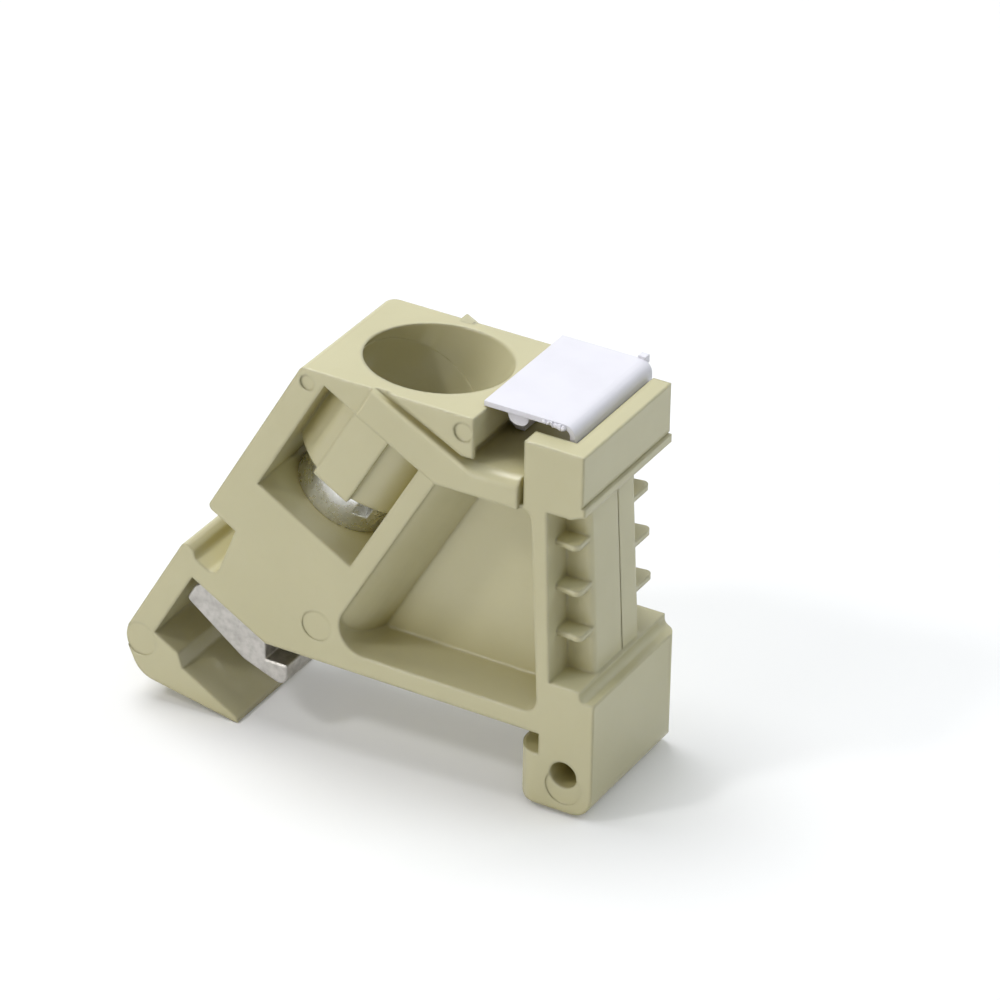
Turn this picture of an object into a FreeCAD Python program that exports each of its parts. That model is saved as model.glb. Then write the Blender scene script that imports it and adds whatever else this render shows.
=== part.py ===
import FreeCAD, Part
import Sketcher
import math
import os

# End stop for a 15 mm mounting rail: a moulded housing, a clamping screw, a steel jaw
# and a snap-in marker tag. X runs across the rail, Y along it and Z up. The origin is
# over the rail's centre line, on the top of its lips, halfway through the housing.
# Each piece is drawn clamped on the rail.

document = FreeCAD.newDocument("rail_end_stop")
sheet = document.addObject("Spreadsheet::Sheet", "sizes")

driving_sizes = [
    ("body_width", 8.2, "housing, along the rail"),
    ("top_height", 15.8, "top face above the rail's lips"),
    ("top_right", 3.9, "right end of the top face"),
    ("rail_width", 15.0, "rail, over its lips"),
    ("lip_thickness", 1.0, "rail lip"),
    ("lip_play", 0.17, "room round the fixed lip"),
    ("axis_tilt", 30.0, "screw axis, from upright, in degrees"),
    ("axis_offset", 8.2, "screw axis, from the rail's centre"),
    ("flank_reach", 4.35, "screw axis to the slanted side"),
    ("bore_radius", 3.2, "screwdriver bore, upper part"),
    ("bore_step", 0.03, "bore, faint step under its mouth"),
    ("head_bore_radius", 3.0, "bore round the screw's head"),
    ("head_bore_top", 6.9, "upper end of that part"),
    ("seat_level", 3.7, "shoulder under the screw's head"),
    ("shank_play", 0.08, "room round the shank"),
    ("boss_radius", 5.6, "outside of the bore's wall in the pockets"),
    ("window_half", 2.95, "window and grooves, half width"),
    ("window_top", 6.6, "window, upper side"),
    ("strip_half", 1.05, "strip between the grooves, half width"),
    ("groove_drop", 2.41, "upper end of the grooves, below the top on the axis"),
    ("guide_radius", 3.85, "round wall at the bottom of the grooves"),
    ("ledge_proud_front", 0.2, "ledge, above the front face"),
    ("ledge_proud_back", 0.5, "ledge, above the back face"),
    ("ledge_line", 0.3, "groove along the ledge, width"),
    ("ledge_line_depth", 0.45, "groove along the ledge, depth"),
    ("nose_level", 0.45, "underside of the nose"),
    ("notch_floor", 2.69, "floor of the notch under the nose"),
    ("notch_rise", 0.42, "arm's outer corner, above that floor"),
    ("notch_depth", 1.8, "notch between the nose and the arm"),
    ("arm_low", 9.6, "arm's outer side, lower end"),
    ("arm_toe_x", 9.0, "arm's tip, left of the centre"),
    ("arm_toe_z", 5.15, "arm's tip, below the lips"),
    ("arm_heel_x", 14.75, "arm's outer lower corner, left of the centre"),
    ("arm_heel_z", 4.12, "arm's outer lower corner, below the lips"),
    ("cavity_ceiling", 3.73, "ceiling over the jaw"),
    ("cavity_reach", 3.05, "screw axis to the cavity's outer wall"),
    ("cavity_floor", 8.2, "cavity floor, outer part"),
    ("cavity_drop", 0.55, "step in the cavity floor"),
    ("cavity_step", 1.5, "screw axis to the step"),
    ("boss_step", 0.13, "pockets, straight edge before the bore's wall curves in"),
    ("base_thickness", 1.0, "floor under the pockets"),
    ("pocket_drop", 3.9, "pockets, upper side below the top"),
    ("pocket_depth", 3.0, "pockets, from each face"),
    ("pocket_corner", 1.4, "pockets, lower left corner radius"),
    ("pocket_corner_right", 0.8, "pockets, lower right corner radius"),
    ("column_wall", 0.5, "wall between the pockets and the comb"),
    ("column_lean", 0.55, "pockets, narrowing towards the top"),
    ("column_right", 8.15, "column's right face, at the foot"),
    ("comb_depth", 1.5, "rib and shelves, out from the column, at the foot"),
    ("comb_lean", 0.32, "column, leaning back up to the rim"),
    ("rib_lean", 0.55, "rib, leaning back up to the rim"),
    ("comb_rib", 4.3, "rib between the shelves, width"),
    ("rib_front", 2.35, "rib, front side from the middle"),
    ("rib_round", 0.3, "rib, rounded outer edges"),
    ("shelf_thickness", 0.28, "comb shelves"),
    ("shelf_low", 2.25, "lowest shelf above the foot"),
    ("shelf_pitch", 2.4, "from shelf to shelf"),
    ("shelf_back", 0.58, "shelves, back from the faces"),
    ("shelf_round", 0.34, "shelves, rounded corners"),
    ("foot_right", 10.55, "right face of the foot"),
    ("foot_top", 2.98, "top of the foot"),
    ("foot_step", 0.55, "drop along the foot's outer edge"),
    ("foot_step_width", 0.75, "width of that drop"),
    ("foot_bottom", 3.9, "foot, below the lips"),
    ("hook_reach", 1.2, "nose of the fixed hook, under the lip"),
    ("hook_corner", 0.7, "hook, lower corner"),
    ("foot_corner", 1.1, "foot, lower corner"),
    ("hook_round", 1.3, "hook, rounded towards each face"),
    ("foot_hole_radius", 0.72, "small hole through the foot"),
    ("foot_hole_x", 9.02, "small hole, right of the centre"),
    ("foot_hole_z", 1.88, "small hole, below the lips"),
    ("slot_depth", 2.4, "marker slot, below the top"),
    ("ledge_round", 0.6, "rounded upper edge of the ledge"),
    ("slot_undercut", 0.5, "undercut for the tag, depth"),
    ("undercut_height", 0.8, "undercut for the tag, above the slot's floor"),
    ("undercut_end", 0.25, "undercut, ends before each face"),
    ("rim_drop", 0.3, "rim round the slot, below the top"),
    ("rim_right", 9.7, "rim, right face"),
    ("rim_wall", 1.15, "rim, right wall"),
    ("rim_left", 6.6, "front wall of the rim, left end"),
    ("rim_front", 1.05, "front wall of the rim"),
    ("rim_depth", 3.7, "rim, underside below the top"),
    ("rim_chamfer", 0.6, "rim, lower chamfer"),
    ("rim_flange", 0.12, "thin flange under the rim's right face, how far it stands out"),
    ("flange_low", 0.3, "flange, lower side above the rim's underside"),
    ("flange_high", 0.72, "flange, upper side above the rim's underside"),
    ("rim_bevel", 0.22, "rim, inner upper edge"),
    ("rim_recess", 0.35, "recess between the ledge and the rim"),
    ("foot_back_round", 0.8, "foot, rounded back corner"),
    ("mark_depth", 0.06, "round ejector marks"),
    ("top_mark_depth", 0.1, "the two ejector marks near the top"),
    ("screw_radius", 1.5, "M3 screw"),
    ("screw_length", 11.6, "screw, under its head"),
    ("screw_tip", 0.4, "chamfer at the screw's end"),
    ("head_radius", 2.7, "screw head"),
    ("head_height", 2.0, "screw head"),
    ("head_edge", 0.25, "rounding of the head"),
    ("slot_width", 0.8, "screwdriver slot"),
    ("slot_cut", 0.95, "screwdriver slot, depth"),
    ("slot_turn", 36, "screwdriver slot, turned from the rail's direction"),
    ("jaw_play", 0.1, "room over the clamped jaw"),
    ("jaw_side_play", 0.2, "jaw, in from each face"),
    ("jaw_reach", 2.75, "screw axis to the jaw's outer end"),
    ("jaw_thickness", 1.37, "jaw, outer end"),
    ("jaw_growth", 0.5, "jaw, thicker towards the claw"),
    ("jaw_chamfer", 0.45, "jaw, chamfered outer end"),
    ("jaw_hole_play", 0.05, "thread clearance in the jaw"),
    ("claw_reach", 1.15, "claw, under the lip"),
    ("claw_thickness", 1.35, "claw"),
    ("claw_play", 0.06, "room between the claw and the lip"),
    ("tag_left", 3.7, "tag, left edge"),
    ("tag_play", 0.05, "room round the tag"),
    ("tag_front", 2.8, "tag, front edge from the middle"),
    ("tag_back", 4.45, "tag, back edge from the middle"),
    ("tag_thickness", 0.27, "tag plate"),
    ("tag_bend", 0.6, "tag, rounded right edge"),
    ("tag_skirt", 0.75, "tag, bent edge, below its top"),
    ("tag_leg_left", 1.1, "tag's tongue, right of its left edge"),
    ("tag_leg_width", 1.1, "tag's tongue"),
    ("tag_leg_drop", 0.7, "tag's tongue, below the plate"),
    ("tag_hook_width", 0.5, "tag's snap hook, stem"),
    ("tag_hook_length", 2.6, "tag's snap hook, along the rail"),
]

for row, (alias, value, note) in enumerate(driving_sizes, start=1):
    sheet.set(f"A{row}", note)
    sheet.set(f"B{row}", str(value))
    sheet.setAlias(f"B{row}", alias)
document.recompute()


class Measure:
    """A size as a number and as the expression that gives it from the sheet."""

    def __init__(self, number, text):
        self.number = number
        self.text = text

    def combine(self, other, sign, result):
        return Measure(result, f"({self.text} {sign} {measure(other).text})")

    def __add__(self, other):
        return self.combine(other, "+", self.number + measure(other).number)

    def __sub__(self, other):
        return self.combine(other, "-", self.number - measure(other).number)

    def __mul__(self, other):
        return self.combine(other, "*", self.number * measure(other).number)

    def __truediv__(self, other):
        return self.combine(other, "/", self.number / measure(other).number)

    def __radd__(self, other):
        return measure(other) + self

    def __rsub__(self, other):
        return measure(other) - self

    def __rmul__(self, other):
        return measure(other) * self

    def __neg__(self):
        return 0 - self


def measure(size):
    """A driving size by its name, a plain number, or a measure as it is."""
    if isinstance(size, Measure):
        return size
    if isinstance(size, str):
        return Measure(float(sheet.get(size)), "sizes." + size)
    return Measure(float(size), f"({size})")


tilt = measure("axis_tilt")
tilt_sine = Measure(math.sin(math.radians(tilt.number)), f"sin({tilt.text})")
tilt_cosine = Measure(math.cos(math.radians(tilt.number)), f"cos({tilt.text})")


def tilted(across, level):
    """A point given across the screw axis and along it, as X and Z."""
    reach = measure(across) - measure("axis_offset")
    rise = measure(level)
    return (rise * tilt_sine + reach * tilt_cosine, rise * tilt_cosine - reach * tilt_sine)


def level_at(across, height):
    """The level along the axis of a point across it that lies at a height Z."""
    reach = measure(across) - measure("axis_offset")
    return (measure(height) + reach * tilt_sine) / tilt_cosine


def across_at(level, height):
    """How far across the axis a point on a level lies at a height Z."""
    rise = measure(level)
    return (rise * tilt_cosine - measure(height)) / tilt_sine + measure("axis_offset")


def upright(x, z):
    return (measure(x), measure(z))


def vector(point):
    return FreeCAD.Vector(point[0].number, 0, point[1].number)


def new_body(label):
    body = document.addObject("PartDesign::Body", label)
    body.Label = label
    return body


def origin_item(body, role):
    return next(item for item in body.Origin.OriginFeatures if item.Role == role)


def bind(item, prop, size):
    """Tie a property of a feature to the sheet."""
    item.setExpression(prop, measure(size).text)


def new_sketch(body, name, plane="XZ_Plane", height=None):
    sketch = body.newObject("Sketcher::SketchObject", name)
    sketch.AttachmentSupport = (origin_item(body, plane), [""])
    sketch.MapMode = "FlatFace"
    if height is not None:
        bind(sketch, "AttachmentOffset.Base.z", height)
    return sketch


def pin_point(sketch, line, end, point):
    """Hold one end of a line at a point worked out from the sheet."""
    for kind, size in zip(("DistanceX", "DistanceY"), point):
        index = sketch.addConstraint(Sketcher.Constraint(kind, -1, 1, line, end, size.number))
        sketch.setExpression(f"Constraints[{index}]", size.text)


def draw_outline(sketch, points):
    """A closed outline of straight sides through points in the sketch's own plane."""
    points = [(measure(x), measure(y)) for x, y in points]
    corners = [FreeCAD.Vector(x.number, y.number, 0) for x, y in points]
    lines = []
    for start, end in zip(corners, corners[1:] + corners[:1]):
        lines.append(sketch.addGeometry(Part.LineSegment(start, end)))
    for line, following in zip(lines, lines[1:] + lines[:1]):
        sketch.addConstraint(Sketcher.Constraint("Coincident", line, 2, following, 1))
    for line, point in zip(lines, points):
        pin_point(sketch, line, 1, point)
    return lines


def draw_corner_cut(sketch, corner, inward, radius):
    """A cutter that rounds off one corner; inward points from it into the material."""
    corner = [measure(size) for size in corner]
    radius = measure(radius)
    side, rise = inward
    centre = (corner[0] + radius * side, corner[1] + radius * rise)
    on_side = (corner[0], centre[1])
    on_floor = (centre[0], corner[1])
    clear = (corner[0] - 0.2 * side, corner[1] - 0.2 * rise)
    points = [on_side, (clear[0], centre[1]), clear, (centre[0], clear[1]), on_floor]
    places = [FreeCAD.Vector(x.number, y.number, 0) for x, y in points]
    lines = []
    for start, end in zip(places, places[1:]):
        lines.append(sketch.addGeometry(Part.LineSegment(start, end)))
    for line, following in zip(lines, lines[1:]):
        sketch.addConstraint(Sketcher.Constraint("Coincident", line, 2, following, 1))
    for line, point in zip(lines, points):
        pin_point(sketch, line, 1, point)
    pin_point(sketch, lines[-1], 2, on_floor)
    middle = FreeCAD.Vector(centre[0].number, centre[1].number, 0)
    circle = Part.Circle(middle, FreeCAD.Vector(0, 0, 1), radius.number)
    side_angle = math.pi if side > 0 else 0
    floor_angle = 1.5 * math.pi if rise > 0 else 0.5 * math.pi
    if side_angle > floor_angle:
        floor_angle += 2 * math.pi if side_angle - floor_angle > math.pi else 0
    if floor_angle - side_angle > math.pi:
        side_angle += 2 * math.pi
    angles = sorted((side_angle, floor_angle))
    arc = sketch.addGeometry(Part.ArcOfCircle(circle, angles[0], angles[1]))
    side_end = 1 if side_angle < floor_angle else 2
    sketch.addConstraint(Sketcher.Constraint("Coincident", arc, side_end, lines[0], 1))
    sketch.addConstraint(Sketcher.Constraint("Coincident", arc, 3 - side_end, lines[-1], 2))
    index = sketch.addConstraint(Sketcher.Constraint("Radius", arc, radius.number))
    sketch.setExpression(f"Constraints[{index}]", radius.text)


def draw_circle(sketch, centre, radius):
    centre = [measure(size) for size in centre]
    radius = measure(radius)
    middle = FreeCAD.Vector(centre[0].number, centre[1].number, 0)
    circle = sketch.addGeometry(Part.Circle(middle, FreeCAD.Vector(0, 0, 1), radius.number))
    pin_point(sketch, circle, 3, centre)
    index = sketch.addConstraint(Sketcher.Constraint("Radius", circle, radius.number))
    sketch.setExpression(f"Constraints[{index}]", radius.text)


def extrude(body, kind, name, outlines, length, plane="XZ_Plane", height=None,
            symmetric=True, reverse=False):
    """A pad or pocket of one or more outlines."""
    sketch = new_sketch(body, name + "_sketch", plane, height)
    for outline in outlines:
        draw_outline(sketch, outline)
    return extrude_sketch(body, kind, name, sketch, length, symmetric, reverse)


def extrude_sketch(body, kind, name, sketch, length, symmetric=True, reverse=False):
    feature = body.newObject("PartDesign::" + kind, name)
    feature.Profile = sketch
    if symmetric:
        feature.SideType = "Symmetric"
    feature.Reversed = reverse
    bind(feature, "Length", length)
    document.recompute()
    return feature


def turn(body, kind, name, profile, angle=None):
    """A profile in distances across and along the screw axis, revolved about it."""
    sketch = new_sketch(body, name + "_sketch")
    centre = tilted(0, 0)
    sketch.AttachmentOffset = FreeCAD.Placement(
        FreeCAD.Vector(centre[0].number, centre[1].number, 0),
        FreeCAD.Rotation(FreeCAD.Vector(0, 0, -1), tilt.number))
    bind(sketch, "AttachmentOffset.Base.x", centre[0])
    bind(sketch, "AttachmentOffset.Base.y", centre[1])
    bind(sketch, "AttachmentOffset.Rotation.Angle", tilt)
    draw_outline(sketch, profile)
    feature = body.newObject("PartDesign::" + kind, name)
    feature.Profile = sketch
    feature.ReferenceAxis = (sketch, ["V_Axis"])
    if angle is None:
        feature.Angle = 360
    else:
        feature.Midplane = True
        bind(feature, "Angle", angle)
    document.recompute()
    return feature


def edges_through(shape, point, along):
    """Names of the straight edges in one direction that pass through a point."""
    names = []
    for index, edge in enumerate(shape.Edges, start=1):
        if not isinstance(edge.Curve, Part.Line):
            continue
        direction = edge.Vertexes[-1].Point - edge.Vertexes[0].Point
        if direction.Length < 1e-6 or abs(direction.normalize().dot(along)) < 0.999:
            continue
        start = edge.Vertexes[0].Point
        gap = point - start
        if (gap - along * gap.dot(along)).Length < 1e-3:
            names.append(f"Edge{index}")
    return names


def edges_where(shape, test):
    """Names of the edges whose ends both pass a test."""
    names = []
    for index, edge in enumerate(shape.Edges, start=1):
        if len(edge.Vertexes) == 2 and all(test(vertex.Point) for vertex in edge.Vertexes):
            names.append(f"Edge{index}")
    return names


def across_of(point):
    """How far a point lies from the screw axis, seen along the rail."""
    return (point.x * tilt_cosine.number - point.z * tilt_sine.number
            + measure("axis_offset").number)


def close(number, size):
    return abs(number - measure(size).number) < 1e-3


along_rail = FreeCAD.Vector(0, 1, 0)
upwards = FreeCAD.Vector(0, 0, 1)


def round_corners(body, name, points, radius):
    """Round the corners of an outline, each an edge that runs along the rail."""
    base = body.Tip
    names = []
    for point in points:
        names += edges_through(base.Shape, vector(point), along_rail)
    return dress(body, "Fillet", name, base, names, "Radius", radius)


def dress(body, kind, name, base, names, prop, size):
    feature = body.newObject("PartDesign::" + kind, name)
    feature.Base = (base, sorted(set(names)))
    bind(feature, prop, size)
    document.recompute()
    return feature


def mirror_through(body, name, originals, role="XZ_Plane"):
    """Repeat features on the other face of the housing."""
    feature = body.newObject("PartDesign::Mirrored", name)
    feature.Originals = originals
    feature.MirrorPlane = (origin_item(body, role), [""])
    body.Tip = feature
    document.recompute()
    return feature


half_width = measure("body_width") / 2
flank = -measure("flank_reach")
notch_wall = flank + measure("notch_depth")
lip_edge = measure("rail_width") / 2
column_left = measure("column_right") - measure("column_wall") - 0.1
slot_floor = measure("top_height") - measure("slot_depth")
rim_height = measure("top_height") - measure("rim_drop")
rim_bottom = measure("top_height") - measure("rim_depth")
pocket_top = measure("top_height") - measure("pocket_drop")
hook_left = lip_edge - measure("hook_reach")
window_half = measure("window_half")
strip_half = measure("strip_half")
groove_top = level_at(0, "top_height") - measure("groove_drop")
flank_depth = half_width - measure("boss_step")
boss = measure("boss_radius")
pocket_left = Measure(
    math.sqrt(boss.number ** 2 - flank_depth.number ** 2),
    f"sqrt({boss.text} ^ 2 - {flank_depth.text} ^ 2)")
boss_angle = Measure(
    2 * math.degrees(math.asin((half_width.number - 0.02) / boss.number)),
    f"2 * asin(({half_width.text} - 0.02) / {boss.text}) / 1 deg")


def make_housing():
    """The moulding: outline, boss and rib first, then its hollows, then small forms."""
    body = new_body("housing")
    ceiling = -measure("cavity_ceiling")
    cavity_wall = -measure("cavity_reach")
    floor_outer = -measure("cavity_floor")
    floor_inner = floor_outer - measure("cavity_drop")
    step = -measure("cavity_step")
    slant_top = tilted(flank, level_at(flank, "top_height"))
    nose = tilted(flank, "nose_level")
    notch_floor = -measure("notch_floor")
    notch_top = tilted(notch_wall, "nose_level")
    notch_low = tilted(notch_wall + 0.47, notch_floor)
    notch_left = tilted(flank + 0.95, notch_floor)
    arm_facet = tilted(flank + 0.65, notch_floor + measure("notch_rise") * 0.75)
    arm_top = tilted(flank, notch_floor + measure("notch_rise"))
    arm_side = tilted(flank, -measure("arm_low"))
    arm_heel = upright(-measure("arm_heel_x"), -measure("arm_heel_z"))
    arm_toe = upright(-measure("arm_toe_x"), -measure("arm_toe_z"))
    toe_in = tilted(across_at(floor_inner, -measure("arm_toe_z") + 0.3), floor_inner)
    step_low = tilted(step + measure("cavity_drop") * 1.1, floor_inner)
    step_high = tilted(step, floor_outer)
    cavity_low = tilted(cavity_wall, floor_outer)
    cavity_high = tilted(cavity_wall, ceiling)
    base_left = tilted(across_at(ceiling, 0), ceiling)
    rim_inner = measure("rim_right") - measure("rim_wall")
    lip_end = lip_edge + measure("lip_play")
    lip_under = -(measure("lip_thickness") + measure("lip_play"))
    foot_shoulder = measure("foot_right") - measure("foot_step_width")
    flange_right = measure("rim_right") + measure("rim_flange")
    flange_top = rim_bottom + measure("flange_high")
    groove_right = measure("rim_right") - 0.06

    extrude(body, "Pad", "side_plate", [[
        slant_top, nose, notch_top, notch_low, notch_left, arm_facet, arm_top,
        arm_side, arm_heel, arm_toe, toe_in,
        step_low, step_high, cavity_low, cavity_high, base_left,
        upright(lip_end, 0), upright(lip_end, lip_under), upright(hook_left, lip_under),
        upright(hook_left, -measure("foot_bottom")),
        upright("foot_right", -measure("foot_bottom")),
        upright("foot_right", measure("foot_top") - measure("foot_step")),
        upright(foot_shoulder, measure("foot_top") - measure("foot_step")),
        upright(foot_shoulder, "foot_top"),
        upright("column_right", "foot_top"),
        upright(measure("column_right") - measure("comb_lean"), rim_bottom),
        upright(measure("rim_right") - measure("rim_chamfer"), rim_bottom),
        upright(flange_right, rim_bottom + measure("flange_low")),
        upright(flange_right, flange_top), upright(groove_right, flange_top),
        upright(groove_right, flange_top + 0.1), upright("rim_right", flange_top + 0.1),
        upright("rim_right", rim_height), upright(rim_inner, rim_height),
        upright(rim_inner, slot_floor), upright("top_right", slot_floor),
        upright("top_right", "top_height"),
    ]], "body_width")
    flank_back = edges_where(body.Shape, lambda point: close(across_of(point), flank)
                             and close(point.y, half_width) and point.z > 0)
    dress(body, "Fillet", "flank_back_edge", body.Tip, flank_back, "Radius", 0.6)
    round_corners(body, "outer_corners", [slant_top, nose, arm_top], 0.3)
    round_corners(body, "notch_corners", [notch_low], 0.5)
    round_corners(body, "notch_left_corners", [notch_left, arm_facet], 0.25)
    round_corners(body, "arm_heel_corners", [arm_side, arm_heel], 1.4)
    round_corners(body, "foot_low_corner", [
        upright("foot_right", -measure("foot_bottom"))], "foot_corner")
    hook_plan = new_sketch(body, "hook_plan_sketch", "XY_Plane", lip_under)
    draw_corner_cut(hook_plan, (hook_left, -half_width), (1, 1), "hook_round")
    draw_corner_cut(hook_plan, (hook_left, half_width), (1, -1), "hook_round")
    extrude_sketch(body, "Pocket", "hook_plan", hook_plan, measure("foot_bottom"),
                   symmetric=False)
    foot_plan = new_sketch(body, "foot_plan_sketch", "XY_Plane")
    draw_corner_cut(foot_plan, ("foot_right", half_width), (-1, -1), "foot_back_round")
    extrude_sketch(body, "Pocket", "foot_plan", foot_plan, measure("foot_bottom") * 2 + 2)
    hook_side = new_sketch(body, "hook_side_sketch")
    draw_corner_cut(hook_side, (hook_left, -measure("foot_bottom")), (1, 1), "hook_corner")
    extrude_sketch(body, "Pocket", "hook_side", hook_side, measure("body_width") + 2)
    round_corners(body, "foot_step_corner", [
        upright(foot_shoulder, measure("foot_top") - measure("foot_step"))], 0.3)
    round_corners(body, "toe_corner", [arm_toe, toe_in], 0.12)
    rim_edge = edges_through(body.Shape, vector(upright(rim_inner, rim_height)), along_rail)
    dress(body, "Chamfer", "rim_inner_bevel", body.Tip, rim_edge, "Size", "rim_bevel")

    # The comb on the right: an upright rib and three shelves across it.
    comb_low = measure("column_right") + measure("comb_depth")
    comb_high = comb_low - measure("rib_lean")
    comb_bottom = measure("foot_top") - 0.2
    comb_height = rim_bottom - measure("foot_top")
    extrude(body, "Pad", "comb_rib", [[
        upright(column_left, comb_bottom), upright(comb_low, comb_bottom),
        upright(comb_high, rim_bottom + 0.1), upright(column_left, rim_bottom + 0.1),
    ]], "comb_rib", height="rib_front", symmetric=False, reverse=True)
    rib_lean = FreeCAD.Vector(-measure("rib_lean").number, 0,
                              (rim_bottom + 0.1 - comb_bottom).number).normalize()
    rib_edges = []
    for side in (-measure("rib_front"), measure("comb_rib") - measure("rib_front")):
        low_end = FreeCAD.Vector(comb_low.number, side.number, comb_bottom.number)
        rib_edges += edges_through(body.Shape, low_end, rib_lean)
    dress(body, "Fillet", "rib_edges", body.Tip, rib_edges, "Radius", "rib_round")
    shelf_y = half_width - measure("shelf_back")
    for count, name in enumerate(("low", "middle", "high")):
        above_foot = measure("shelf_low") + measure("shelf_pitch") * count
        reach = comb_low - measure("rib_lean") * above_foot / comb_height - 0.08
        extrude(body, "Pad", name + "_shelf", [[
            (column_left + 0.1, 0.25 - shelf_y), (reach, -shelf_y),
            (reach, shelf_y), (column_left + 0.1, shelf_y - 0.25),
        ]], "shelf_thickness", plane="XY_Plane", height=measure("foot_top") + above_foot,
            symmetric=False)
        corners = []
        for y in (-shelf_y.number, shelf_y.number):
            post = FreeCAD.Vector(reach.number, y, 0)
            corners += edges_through(body.Shape, post, upwards)
        dress(body, "Fillet", name + "_shelf_corners", body.Tip, corners, "Radius",
              "shelf_round")

    parting = 0.06
    extrude(body, "Pocket", "rib_parting_line", [[
        upright(comb_low - parting, comb_bottom + 0.2), upright(comb_low + 0.3, comb_bottom + 0.2),
        upright(comb_high + 0.3, rim_bottom), upright(comb_high - parting, rim_bottom),
    ]], 0.08, height=-0.2, symmetric=False)
    extrude(body, "Pad", "rim_front_wall", [[
        upright("rim_left", rim_bottom + 0.2), upright(rim_inner + 0.3, rim_bottom + 0.2),
        upright(rim_inner + 0.3, rim_height), upright("rim_left", rim_height),
    ]], "rim_front", height=half_width - measure("rim_front"), symmetric=False)

    # Pockets in both faces, with a web between them and the bore's wall inside them.
    pocket_floor_left = tilted(pocket_left, level_at(pocket_left, "base_thickness"))
    pocket_floor_right = upright(column_left, "base_thickness")
    pocket_top_left = tilted(pocket_left, level_at(pocket_left, pocket_top))
    pocket_top_right = upright(column_left - measure("column_lean"), pocket_top)
    pocket = extrude(body, "Pocket", "front_pocket", [[
        pocket_floor_left, pocket_floor_right, pocket_top_right, pocket_top_left,
    ]], "pocket_depth", height=half_width, symmetric=False)
    mirror_through(body, "back_pocket", [pocket])
    round_corners(body, "pocket_left_corners", [pocket_floor_left], "pocket_corner")
    round_corners(body, "pocket_right_corners", [pocket_floor_right], "pocket_corner_right")
    round_corners(body, "pocket_top_corners", [pocket_top_left, pocket_top_right], 0.5)
    turn(body, "Revolution", "bore_wall", [
        (measure("bore_radius") + 0.1, -1), ("boss_radius", -1),
        ("boss_radius", 12.4), (measure("bore_radius") + 0.1, 12.4),
    ], angle=boss_angle)

    # The grooves beside the strip, down to a round wall about the bore.
    grooves = extrude(body, "Pocket", "front_grooves", [
        [tilted(-window_half, "window_top"), tilted(-strip_half, "window_top"),
         tilted(-strip_half, groove_top), tilted(-window_half, groove_top)],
        [tilted(strip_half, "window_top"), tilted(window_half, "window_top"),
         tilted(window_half, groove_top), tilted(strip_half, groove_top)],
    ], half_width - 1.5, height=half_width, symmetric=False)
    mirror_through(body, "back_grooves", [grooves])
    turn(body, "Revolution", "guide_wall", [
        (2, measure("window_top") - 0.5), ("guide_radius", measure("window_top") - 0.5),
        ("guide_radius", groove_top + 0.1), (2, groove_top + 0.1),
    ])

    # The screwdriver bore, with the shoulder for the head and the shank's hole.
    narrow = measure("bore_radius") - measure("bore_step")
    shank_hole = measure("screw_radius") + measure("shank_play")
    turn(body, "Groove", "screw_bore", [
        (0, ceiling - 0.5), (shank_hole, ceiling - 0.5), (shank_hole, "seat_level"),
        ("head_bore_radius", "seat_level"), ("head_bore_radius", "head_bore_top"),
        (narrow, "head_bore_top"), (narrow, groove_top), ("bore_radius", groove_top),
        ("bore_radius", groove_top + 6), (0, groove_top + 6),
    ])
    extrude(body, "Pocket", "window", [[
        tilted(-window_half, "seat_level"), tilted(window_half, "seat_level"),
        tilted(window_half, "window_top"), tilted(-window_half, "window_top"),
    ]], measure("body_width") + 2)

    # The ledge that slants over the grooves and goes on as the bar in front of the slot.
    ledge_left = measure(-0.95)
    ledge_low = groove_top + 0.1
    ledge_end = measure("rim_left") - 0.22
    ledge_turn = measure("top_right") - 0.73
    ledge_start = tilted(ledge_left, level_at(ledge_left, "top_height"))
    ledge = [
        tilted(ledge_left, ledge_low), ledge_start, upright(ledge_turn, slot_floor),
        upright(ledge_end, slot_floor), upright(ledge_end, pocket_top), pocket_top_left,
    ]
    extrude(body, "Pad", "front_ledge", [ledge], measure("ledge_proud_front") + 0.3,
            height=half_width - 0.3, symmetric=False)
    extrude(body, "Pad", "back_ledge", [ledge], measure("ledge_proud_back") + 0.3,
            height=0.3 - half_width, symmetric=False, reverse=True)
    line = measure("ledge_line")
    ledge_line = extrude(body, "Pocket", "front_ledge_line", [[
        ledge_start, upright(ledge_turn, slot_floor),
        upright(measure("top_right") + 0.1, slot_floor),
        upright(measure("top_right") + 0.1, slot_floor + line),
        upright(ledge_turn + line * 0.3, slot_floor + line),
        (ledge_start[0] + line * 2.3, ledge_start[1] + 0.001),
    ]], "ledge_line_depth", height=half_width, symmetric=False)
    mirror_through(body, "back_ledge_line", [ledge_line])
    for name, side, proud in (("front", -1, "ledge_proud_front"), ("back", 1, "ledge_proud_back")):
        face = side * (half_width + measure(proud))
        bar_edge = edges_where(body.Shape, lambda point: close(point.y, face)
                               and close(point.z, slot_floor))
        dress(body, "Fillet", name + "_bar_rounding", body.Tip, bar_edge, "Radius", "ledge_round")
        slant_edge = edges_where(body.Shape, lambda point: close(point.y, face)
                                 and point.z > slot_floor.number - 1e-3
                                 and across_of(point) > ledge_left.number - 1e-3)
        dress(body, "Fillet", name + "_ledge_rounding", body.Tip, slant_edge, "Radius",
              measure(proud) * 0.6)
    undercut_left = measure("top_right") - measure("slot_undercut")
    extrude(body, "Pocket", "slot_undercut_cut", [[
        upright(undercut_left, slot_floor), upright(measure("top_right") + 0.1, slot_floor),
        upright(measure("top_right") + 0.1, slot_floor + measure("undercut_height")),
        upright(undercut_left, slot_floor + measure("undercut_height")),
    ]], measure("body_width") - measure("undercut_end") * 2)
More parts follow.
